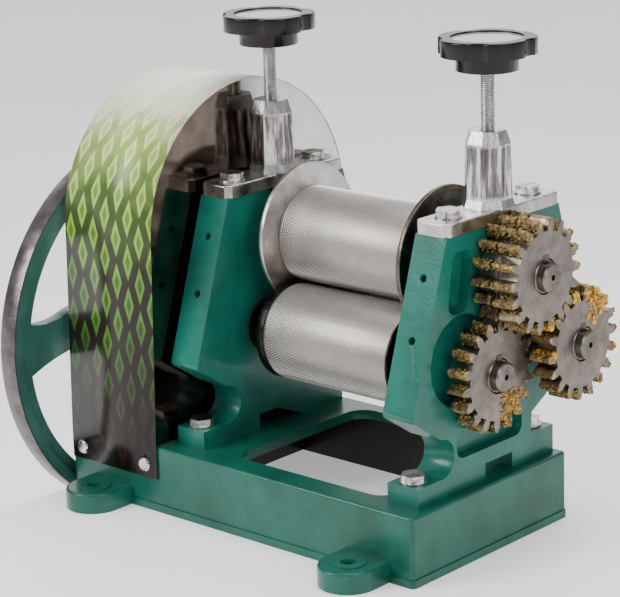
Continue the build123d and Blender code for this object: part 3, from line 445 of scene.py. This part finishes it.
stud_margin = 1.5 * mm
stud_pitch = 2.3 * mm
roller_steel = plated("rolled_steel", "968F8A", "A7A19C", 0.36, 0.5, 12.0)
stud_steel = plated("rolled_stud_steel", "C3BEBA", "D6D2CE", 0.3, 0.42, 12.0)
roller_axes = {"top": (34, 235.5), "front": (0.99, 155.01), "back": (86.24, 165.93)}
for row, (axis_y, axis_z) in roller_axes.items():
    dress(f"roller_{row}", roller_steel, 0.3 * mm)
    low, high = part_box(f"roller_{row}")
    length = high.x - low.x - 2 * stud_margin
    studs = grown(f"studs_{row}", stud_tree, {
        stud_inputs["Start X"]: low.x + stud_margin, stud_inputs["Length"]: length,
        stud_inputs["Axis Y"]: axis_y * mm, stud_inputs["Axis Z"]: axis_z * mm,
        stud_inputs["Rows"]: round(length / stud_pitch), stud_inputs["Finish"]: stud_steel,
    })
    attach(studs, f"{row}_roller")


# ---------------------------------------------------------------- roller ends
# The top roller runs between two turned discs that keep the cane in, with plain collars outside
# them: the left disc is bright steel, while the right disc and both collars are the same steel
# painted dark brown as painted shade. The lower rollers end in black rings.
def turned(name, dark, light, low, high, axis):
    """A lathe-turned metal: fine rings about an X axis at axis (y, z), in millimetres."""
    finish, tree, shader, place = new_finish(name)
    radial, parts = about_axis(tree, place, axis)
    groove = add(tree, "ShaderNodeCombineXYZ", {"X": radial, "Y": parts["X"]}).outputs[0]
    rings = noise(tree, groove, 900.0, 2.0)
    smudge = noise(tree, place, 70.0, 4.0)
    tone = maths(tree, "ADD", maths(tree, "MULTIPLY", rings, 0.35), maths(tree, "MULTIPLY", smudge, 0.65))
    colour = ramp(tree, tone, (0.35, srgb(dark)), (0.65, srgb(light)))
    tree.links.new(colour, shader.inputs["Base Color"])
    shader.inputs["Metallic"].default_value = 1.0
    tree.links.new(span(tree, tone, low, high), shader.inputs["Roughness"])
    bumped(tree, shader, rings, 0.00025, 0.4)
    return finish, tree, shader, radial, smudge


bright_disc = turned("turned_steel_disc", "AAA39E", "D9D4D0", 0.26, 0.42, roller_axes["top"])[0]
dress("flange_left", bright_disc, 0.5 * mm)
# The same turned steel darkened to brown: painted shade on the right disc and the collars.
shaded_disc = turned("shaded_steel_disc", "3F3833", "7A7068", 0.26, 0.44, roller_axes["top"])[0]
dress("flange_right", shaded_disc, 0.5 * mm)
for side in ("left", "right"):
    dress(f"collar_{side}", shaded_disc, 0.6 * mm)
# The rings are coloured near black all over.
black_disc = plated("near_black_ring_finish", "1C1A19", "33302D", 0.3, 0.5)
for row in ("front", "back"):
    for side in ("left", "right"):
        dress(f"ring_{row}_{side}", black_disc, 0.4 * mm)


# ---------------------------------------------------------------- roller shafts
# The shafts are ground steel bars, keyed to the rollers and gears, with centre holes in their
# noses. A turned collar spaces the back gear off the frame.
for row, axis in roller_axes.items():
    shaft_steel = turned(f"ground_shaft_{row}", "4E4844", "8A827C", 0.2, 0.38, axis)[0]
    dress(f"shaft_{row}", shaft_steel, 0.5 * mm)
dress("spacer_back", shaft_steel, 0.5 * mm)
key_steel = plated("dark_key_steel", "4E4844", "6E6762", 0.34, 0.5)
for node in ("key_front", "key_back", "keys_top"):
    dress(node, key_steel)


# ---------------------------------------------------------------- roller gears and their grease
# Three cut gears turn the rollers together. Their faces are plain machined iron, and their
# teeth carry brown and ochre grease that has been pushed into lumps and smeared over the sides.
def greasy_iron(name, axis, web_radius):
    """Machined iron whose teeth are stained by grease, with pale painted glints in the grease film."""
    finish, tree, shader, radial, smudge = turned(name, "675E59", "91877F", 0.3, 0.46, axis)
    place = add(tree, "ShaderNodeTexCoord").outputs["Object"]
    clot = noise(tree, place, 110.0, 4.0, 0.65)
    reach = maths(tree, "MULTIPLY", maths(tree, "SUBTRACT", radial, web_radius * mm), 160.0)
    mask = maths(tree, "ADD", reach, maths(tree, "MULTIPLY", maths(tree, "SUBTRACT", clot, 0.55), 3.4))
    mask = add(tree, "ShaderNodeClamp", {"Value": mask}).outputs[0]
    metal = shader.inputs["Base Color"].links[0].from_socket
    # The palest stop of the grease film is a painted glint on the tooth flanks.
    film = ramp(tree, noise(tree, place, 170.0, 3.0), (0.32, srgb("4A3928")), (0.45, srgb("85694A")),
                (0.56, srgb("A58F5C")), (0.68, srgb("D8C9A4")))
    tree.links.new(mix(tree, mask, metal, film), shader.inputs["Base Color"])
    tree.links.new(span(tree, mask, 1.0, 0.6), shader.inputs["Metallic"])
    return finish


lump_tree, entry = geometry_tree("grease_lumps")
lump_inputs = {}
for label, kind, value in (
    ("Density", "NodeSocketFloat", 420000.0), ("Axis Y", "NodeSocketFloat", 0.0),
    ("Axis Z", "NodeSocketFloat", 0.0), ("Root Radius", "NodeSocketFloat", 0.0385),
    ("Smallest", "NodeSocketFloat", 0.0007), ("Largest", "NodeSocketFloat", 0.0013),
    ("Patch Scale", "NodeSocketFloat", 110.0), ("Threshold", "NodeSocketFloat", 0.55),
    ("Mass Y", "NodeSocketFloat", 0.0), ("Mass Z", "NodeSocketFloat", 0.0),
    ("Mass Reach", "NodeSocketFloat", 1.0), ("Face Limit", "NodeSocketFloat", 0.6),
    ("Grain", "NodeSocketFloat", 0.0005), ("Seed", "NodeSocketInt", 3),
    ("Finish", "NodeSocketMaterial", None),
):
    lump_inputs[label] = socket_of(lump_tree, label, kind, value)
entry_out = entry.outputs
spot = add(lump_tree, "GeometryNodeInputPosition").outputs[0]
parts = add(lump_tree, "ShaderNodeSeparateXYZ", {"Vector": spot}).outputs
away = []
for along_y, along_z in (("Axis Y", "Axis Z"), ("Mass Y", "Mass Z")):
    off_y = maths(lump_tree, "SUBTRACT", parts["Y"], entry_out[along_y])
    off_z = maths(lump_tree, "SUBTRACT", parts["Z"], entry_out[along_z])
    flat = add(lump_tree, "ShaderNodeCombineXYZ", {"X": off_y, "Y": off_z}).outputs[0]
    away.append(add(lump_tree, "ShaderNodeVectorMath", {0: flat}, operation="LENGTH").outputs["Value"])
outer = maths(lump_tree, "GREATER_THAN", away[0], entry_out["Root Radius"])
near = maths(lump_tree, "LESS_THAN", away[1], entry_out["Mass Reach"])
cloud = add(lump_tree, "ShaderNodeTexNoise", {
    "Vector": spot, "Scale": entry_out["Patch Scale"],
}).outputs["Fac"]
thick = maths(lump_tree, "GREATER_THAN", cloud, entry_out["Threshold"])
facing = add(lump_tree, "ShaderNodeSeparateXYZ", {
    "Vector": add(lump_tree, "GeometryNodeInputNormal").outputs[0],
}).outputs["X"]
on_teeth = maths(lump_tree, "LESS_THAN", maths(lump_tree, "ABSOLUTE", facing), entry_out["Face Limit"])
chosen = outer
for limit in (near, thick, on_teeth):
    chosen = maths(lump_tree, "MULTIPLY", chosen, limit)
scatter = add(lump_tree, "GeometryNodeDistributePointsOnFaces", {
    "Mesh": entry_out["Geometry"], "Selection": chosen, "Density": entry_out["Density"],
    "Seed": entry_out["Seed"],
})
size = add(lump_tree, "FunctionNodeRandomValue", {
    2: entry_out["Smallest"], 3: entry_out["Largest"], "Seed": entry_out["Seed"],
}, data_type="FLOAT").outputs[1]
paste = add(lump_tree, "GeometryNodePointsToVolume", {
    "Points": scatter.outputs["Points"], "Density": 1.0, "Voxel Size": entry_out["Grain"], "Radius": size,
}, resolution_mode="VOXEL_SIZE")
skin = add(lump_tree, "GeometryNodeVolumeToMesh", {
    "Volume": paste.outputs[0], "Threshold": 0.2, "Adaptivity": 0.02,
})
real = add(lump_tree, "GeometryNodeRealizeInstances", {"Geometry": skin.outputs[0]})
smooth = add(lump_tree, "GeometryNodeSetShadeSmooth", {"Geometry": real.outputs[0]})
faced = add(lump_tree, "GeometryNodeSetMaterial", {
    "Geometry": smooth.outputs[0], "Material": entry_out["Finish"],
})
add(lump_tree, "NodeGroupOutput", {"Geometry": faced.outputs[0]})


def grease_finish(name, dark, middle, light):
    """Thick wet grease, a little see-through, with streaks of dirt in it."""
    finish, tree, shader, place = new_finish(name)
    swirl = noise(tree, place, 260.0, 4.0, 0.65)
    tree.links.new(ramp(tree, swirl, (0.36, srgb(dark)), (0.5, srgb(middle)), (0.62, srgb(light))),
                   shader.inputs["Base Color"])
    shader.inputs["Roughness"].default_value = 0.28
    shader.inputs["Subsurface Weight"].default_value = 0.15
    shader.inputs["Subsurface Radius"].default_value = (0.002, 0.0012, 0.0004)
    bumped(tree, shader, noise(tree, place, 700.0, 3.0), 0.0004, 0.5)
    return finish


old_grease = grease_finish("old_brown_grease", "4A3A1E", "7D6628", "A8924E")
fresh_grease = grease_finish("fresh_ochre_grease", "7A4A10", "C98F18", "F2CF2E")
worn_grease = grease_finish("dark_ochre_grease", "5A4214", "94701E", "C79A2E")
for row, seed, threshold in (("top", 3, 0.53), ("front", 8, 0.53), ("back", 5, 0.55)):
    axis_y, axis_z = roller_axes[row]
    gear = dress(f"gear_{row}", greasy_iron(f"greasy_iron_{row}", roller_axes[row], 40.0), 0.4 * mm)
    lumps = grown(f"grease_{row}", lump_tree, {
        lump_inputs["Axis Y"]: axis_y * mm, lump_inputs["Axis Z"]: axis_z * mm,
        lump_inputs["Mass Y"]: axis_y * mm, lump_inputs["Mass Z"]: axis_z * mm,
        lump_inputs["Seed"]: seed, lump_inputs["Threshold"]: threshold,
        lump_inputs["Finish"]: old_grease,
    }, gear.data.copy())
    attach(lumps, f"{row}_roller")
masses = (  # gear, name, centre y and z, reach, root radius, threshold and largest lump in mm, grease
    ("back", "crown", 108, 207, 14, 37.5, 0.42, 1.9, fresh_grease),
    ("back", "edge", 74, 209, 8, 38.0, 0.4, 1.6, fresh_grease),
    ("back", "flank", 47, 163, 6.5, 38.0, 0.4, 1.6, fresh_grease),
    ("back", "skirt", 118, 140, 26, 42.0, 0.52, 1.2, worn_grease),
    ("front", "sector", 19, 124, 16, 22.0, 0.3, 1.7, worn_grease),
    ("top", "nip", 45, 189, 8, 38.0, 0.4, 1.6, fresh_grease),
    ("top", "crown", 14, 278, 13, 38.5, 0.5, 1.5, old_grease),
)
for row, label, mass_y, mass_z, reach, root, threshold, largest, finish in masses:
    axis_y, axis_z = roller_axes[row]
    lumps = grown(f"grease_{row}_{label}", lump_tree, {
        lump_inputs["Axis Y"]: axis_y * mm, lump_inputs["Axis Z"]: axis_z * mm,
        lump_inputs["Mass Y"]: mass_y * mm, lump_inputs["Mass Z"]: mass_z * mm,
        lump_inputs["Mass Reach"]: reach * mm, lump_inputs["Root Radius"]: root * mm,
        lump_inputs["Face Limit"]: 1.1, lump_inputs["Threshold"]: threshold,
        lump_inputs["Smallest"]: 0.5 * largest * mm, lump_inputs["Largest"]: largest * mm,
        lump_inputs["Finish"]: finish,
    }, nodes[f"gear_{row}"].data.copy())
    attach(lumps, f"{row}_roller")


# ---------------------------------------------------------------- reduction drive
# Inside the cover a small pinion on the wheel's shaft turns a large gear on the top roller's
# shaft. Both are cut from iron and lightly greased.
drive_iron = greasy_iron("greasy_iron_drive", roller_axes["top"], 80.0)
dress("drive_gear", drive_iron, 0.5 * mm)
crank_axis = (14, 129.37)
dress("pinion", greasy_iron("greasy_iron_pinion", crank_axis, 20.0), 0.4 * mm)


# ---------------------------------------------------------------- wheel shaft and its housing
# The wheel's shaft turns in a flanged iron housing, which three screws hold to the left frame. A
# washer and a nut on its threaded end hold the wheel.
dress("crank_housing", frame_paint_lit_copy, 0.6 * mm)
dress("housing_screws", zinc, 0.5 * mm)
dress("crank_shaft", turned("ground_wheel_shaft", "77726E", "A19C97", 0.2, 0.36, crank_axis)[0], 0.3 * mm)
dress("keys_crank", key_steel)
dress("wheel_washer", zinc, 0.3 * mm)
dress("wheel_nut", zinc, 0.6 * mm)

# ---------------------------------------------------------------- hand wheel
# The wheel is one iron casting with five curved arms. Its rim is turned bare on the outside,
# and the rest is sprayed like the frames, thinner and duller.
rim_land_radius = 173.8 * mm
wheel_paint, tree, shader, place, colour = enamel("green_enamel_wheel", "2A554C", "3B6A60")
radial = about_axis(tree, place, crank_axis)[0]
turned_rim = maths(tree, "GREATER_THAN", radial, rim_land_radius)
bare = ramp(tree, noise(tree, place, 60.0, 4.0), (0.3, srgb("4C4648")), (0.7, srgb("736A6B")))
tree.links.new(mix(tree, turned_rim, colour, bare), shader.inputs["Base Color"])
tree.links.new(maths(tree, "MULTIPLY", turned_rim, 0.9), shader.inputs["Metallic"])
dress("flywheel", wheel_paint, 1.2 * mm)

# ---------------------------------------------------------------- crank handle
# A turned black grip spins on a headed steel pin, which is screwed into a boss on the rim end
# of one arm and locked with a nut.
phenolic, tree, shader, place = new_finish("black_moulded_resin")
haze = noise(tree, place, 140.0, 4.0)
tree.links.new(ramp(tree, haze, (0.3, srgb("121111")), (0.7, srgb("211F1F"))), shader.inputs["Base Color"])
tree.links.new(span(tree, haze, 0.14, 0.3), shader.inputs["Roughness"])
bumped(tree, shader, noise(tree, place, 900.0, 2.0), 0.0001, 0.3)
dress("handle_grip", phenolic, 0.6 * mm)
dress("handle_spindle", zinc, 0.5 * mm)
dress("spindle_nut", zinc, 0.5 * mm)


# ---------------------------------------------------------------- pressure screws
# Two bright steel screws press the top roller's blocks down. Their thread is fine and clean
# along the whole bar.
def screw_mesh(name, x, y, low, high, major, pitch, depth):
    """A bar with a helical thread, closed at both ends."""
    around = 28
    steps_per_turn = 7
    end_taper = 0.8 * mm
    steps = int((high - low) / pitch * steps_per_turn)
    shape = bmesh.new()
    rings = []
    for i in range(steps + 1):
        z = low + (high - low) * i / steps
        end = min(1.0, (z - low) / (pitch * 1.5), (high - z) / (pitch * 1.5))
        ring = []
        for j in range(around):
            turn = 2 * math.pi * j / around
            phase = (z / pitch - j / around) % 1.0
            flank = abs(phase - 0.5) * 2
            r = major - depth * min(1.0, max(0.0, flank * 1.25 - 0.12)) - end_taper * (1 - max(0.0, end))
            ring.append(shape.verts.new((x + r * math.cos(turn), y + r * math.sin(turn), z)))
        rings.append(ring)
    for first, second in zip(rings, rings[1:]):
        for j in range(around):
            k = (j + 1) % around
            shape.faces.new((first[j], first[k], second[k], second[j])).smooth = True
    shape.faces.new(rings[0][::-1])
    shape.faces.new(rings[-1])
    mesh = bpy.data.meshes.new(name)
    shape.to_mesh(mesh)
    shape.free()
    piece = bpy.data.objects.new(name, mesh)
    bpy.context.collection.objects.link(piece)
    return piece


thread_radius = 6.0 * mm
thread_pitch = 1.75 * mm
thread_depth = 0.7 * mm
screw_steel = plated("bright_screw_steel", "A09D9A", "CFCDCA", 0.16, 0.3, 90.0)
for side in ("left", "right"):
    low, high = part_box(f"screw_{side}")
    middle = (low + high) / 2
    screw = screw_mesh(
        f"thread_{side}", middle.x, middle.y, low.z, high.z, thread_radius, thread_pitch, thread_depth
    )
    screw.data.materials.append(screw_steel)
    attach(screw, f"screw_{side}")
    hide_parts(f"screw_{side}")

# ---------------------------------------------------------------- knobs
# Each screw ends in a five-lobed knob of black moulded resin. The dish on top holds a smooth
# resin disc that reflects the room.
knob_resin, tree, shader, place = new_finish("black_knob_resin")
haze = noise(tree, place, 110.0, 4.0)
tree.links.new(ramp(tree, haze, (0.3, srgb("070505")), (0.7, srgb("140F0E"))), shader.inputs["Base Color"])
shader.inputs["Specular IOR Level"].default_value = 0.3
tree.links.new(span(tree, haze, 0.14, 0.28), shader.inputs["Roughness"])
bumped(tree, shader, noise(tree, place, 800.0, 2.0), 0.0001, 0.3)
disc_resin, tree, shader, place = new_finish("glossy_disc_resin")
haze = noise(tree, place, 60.0, 3.0)
tree.links.new(ramp(tree, haze, (0.3, srgb("A39A98")), (0.7, srgb("C4BCBA"))), shader.inputs["Base Color"])
shader.inputs["Roughness"].default_value = 0.12
shader.inputs["Coat Weight"].default_value = 0.6
for side in ("left", "right"):
    dress(f"knob_{side}", knob_resin, 0.8 * mm)
    dress(f"knob_plate_{side}", disc_resin, 0.4 * mm)

# ---------------------------------------------------------------- drive cover
# The cover is thin stainless sheet, bent over two side plates. The sides are polished like a
# mirror, with a few faint dents. Towards the front the inner side is tinted dark brown, a painted
# reflection of the frame and rollers beside it.
reflection_tint_span_y = (55 * mm, 5 * mm)
inner_sheet_x = -91.5 * mm
mirror_sheet, tree, shader, place = new_finish("polished_stainless")
shine = noise(tree, place, 40.0, 3.0)
polish = ramp(tree, shine, (0.3, srgb("C9C9C8")), (0.7, srgb("E2E2E1")))
# Dark brown tint on the inner side towards the front, a painted reflection of the frame and rollers.
painted_reflection_tint = ramp(tree, shine, (0.3, srgb("50463F")), (0.7, srgb("71665E")))
spread = add(tree, "ShaderNodeSeparateXYZ", {"Vector": place}).outputs
forward = fade(tree, spread["Y"], *reflection_tint_span_y)
inner_side = maths(tree, "GREATER_THAN", spread["X"], inner_sheet_x)
reflection_tint_mask = maths(tree, "MULTIPLY", forward, inner_side)
tree.links.new(mix(tree, reflection_tint_mask, polish, painted_reflection_tint), shader.inputs["Base Color"])
shader.inputs["Metallic"].default_value = 1.0
tree.links.new(span(tree, shine, 0.05, 0.12), shader.inputs["Roughness"])
bumped(tree, shader, noise(tree, place, 9.0, 2.0), 0.004, 0.12)
dress("cover", mirror_sheet, 0.5 * mm)

# ---------------------------------------------------------------- printed strip
# A thin printed film runs up the front of the cover, over its arc and down the back. Its plain
# pattern of lozenges goes from dark red-brown at the foot through greens to a pale crown.
arc_centre = (26.0, 242.0)
arc_radius = 125.8
film_stand = 0.25
film_x = (-197.2, -89.4)
foot_y = 105.5
foot_z = 30.5
bend_z = 62.0
film_thickness = 0.2 * mm
print_unit = 100  # millimetres to one unit of the film's coordinates
pale_from = 4.2
lozenge_columns = 7.0
lozenge_rows = 2.6
print_blur = 0.9


def tangent_angle(y, z, side):
    """Where a straight run from (y, z) touches the arc, as an angle about its centre."""
    away = math.atan2(z - arc_centre[1], y - arc_centre[0])
    spread = math.acos(arc_radius / math.hypot(y - arc_centre[0], z - arc_centre[1]))
    return away - spread if side < 0 else away + spread


first_angle = tangent_angle(-foot_y, bend_z, -1) + 2 * math.pi
last_angle = tangent_angle(foot_y, bend_z, 1)
arc_steps = 72
path = [(-foot_y - film_stand, foot_z), (-foot_y - film_stand, bend_z)]
for i in range(arc_steps + 1):
    turn = first_angle + (last_angle - first_angle) * i / arc_steps
    reach = arc_radius + film_stand
    path.append((arc_centre[0] + reach * math.cos(turn), arc_centre[1] + reach * math.sin(turn)))
path += [(foot_y + film_stand, bend_z), (foot_y + film_stand, foot_z)]
shape = bmesh.new()
strip = shape.loops.layers.uv.new("strip")
travel = [0.0]
for first, second in zip(path, path[1:]):
    travel.append(travel[-1] + math.dist(first, second))
columns = [[shape.verts.new((x * mm, y * mm, z * mm)) for x in film_x] for y, z in path]
width = film_x[1] - film_x[0]
for i in range(len(path) - 1):
    face = shape.faces.new((columns[i][0], columns[i][1], columns[i + 1][1], columns[i + 1][0]))
    face.smooth = True
    corners = ((0, travel[i]), (width, travel[i]), (width, travel[i + 1]), (0, travel[i + 1]))
    for loop, (u, v) in zip(face.loops, corners):
        loop[strip].uv = (u / print_unit, v / print_unit)
shape.normal_update()
mesh = bpy.data.meshes.new("cover_film")
shape.to_mesh(mesh)
shape.free()
film = bpy.data.objects.new("cover_film", mesh)
bpy.context.collection.objects.link(film)

print_ink, tree, shader, place = new_finish("printed_film")
flat = add(tree, "ShaderNodeUVMap", uv_map="strip").outputs[0]
haze = add(tree, "ShaderNodeTexNoise", {"Vector": flat, "Scale": 3.0, "Detail": 4.0}).outputs["Fac"]
parts = add(tree, "ShaderNodeSeparateXYZ", {"Vector": flat}).outputs
from_back = maths(tree, "SUBTRACT", travel[-1] / print_unit, parts["Y"])
climb = maths(tree, "MINIMUM", parts["Y"], from_back)
blur = maths(tree, "MULTIPLY", maths(tree, "SUBTRACT", haze, 0.5), print_blur)
climb = maths(tree, "DIVIDE", maths(tree, "ADD", climb, blur), pale_from)
ground = ramp(tree, climb, (0.0, srgb("120706")), (0.2, srgb("1C0D0B")), (0.42, srgb("241A0F")),
              (0.58, srgb("47602A")), (0.72, srgb("9DBB5C")), (0.84, srgb("F1F3DA")), (1.0, srgb("FFFFFB")))
figure = ramp(tree, climb, (0.0, srgb("2A1210")), (0.13, srgb("2E1E14")), (0.24, srgb("34591C")),
              (0.42, srgb("5F962B")), (0.58, srgb("A4D050")), (0.74, srgb("E4F0A8")), (1.0, srgb("FFFEF0")))
column = maths(tree, "MULTIPLY", parts["X"], lozenge_columns)
odd = maths(tree, "MULTIPLY", maths(tree, "MODULO", maths(tree, "FLOOR", column), 2.0), 0.5)
level = maths(tree, "ADD", maths(tree, "MULTIPLY", parts["Y"], lozenge_rows), odd)
side_way = maths(tree, "ABSOLUTE", maths(tree, "SUBTRACT", maths(tree, "FRACT", column), 0.5))
up_way = maths(tree, "ABSOLUTE", maths(tree, "SUBTRACT", maths(tree, "FRACT", level), 0.5))
lozenge = maths(tree, "ADD", side_way, up_way)
shaped = ramp(tree, lozenge, (0.0, (0.35, 0.35, 0.35, 1)), (0.2, (0.35, 0.35, 0.35, 1)),
              (0.24, (1, 1, 1, 1)), (0.4, (1, 1, 1, 1)), (0.46, (0, 0, 0, 1)))
tree.links.new(mix(tree, shaped, ground, figure), shader.inputs["Base Color"])
shader.inputs["Roughness"].default_value = 0.34
shader.inputs["Specular IOR Level"].default_value = 0.35
shader.inputs["Coat Weight"].default_value = 0.12
film.data.materials.append(print_ink)
thickness = film.modifiers.new("thickness", "SOLIDIFY")
thickness.thickness = film_thickness
thickness.offset = -1
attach(film, "frame")

# ---------------------------------------------------------------- cover screws
# Four chromed pan-head screws hold the cover's skirt to the base.
chrome = plated("chromed_screw", "B8B8B8", "DADADA", 0.08, 0.18)
dress("cover_screws", chrome, 0.4 * mm)
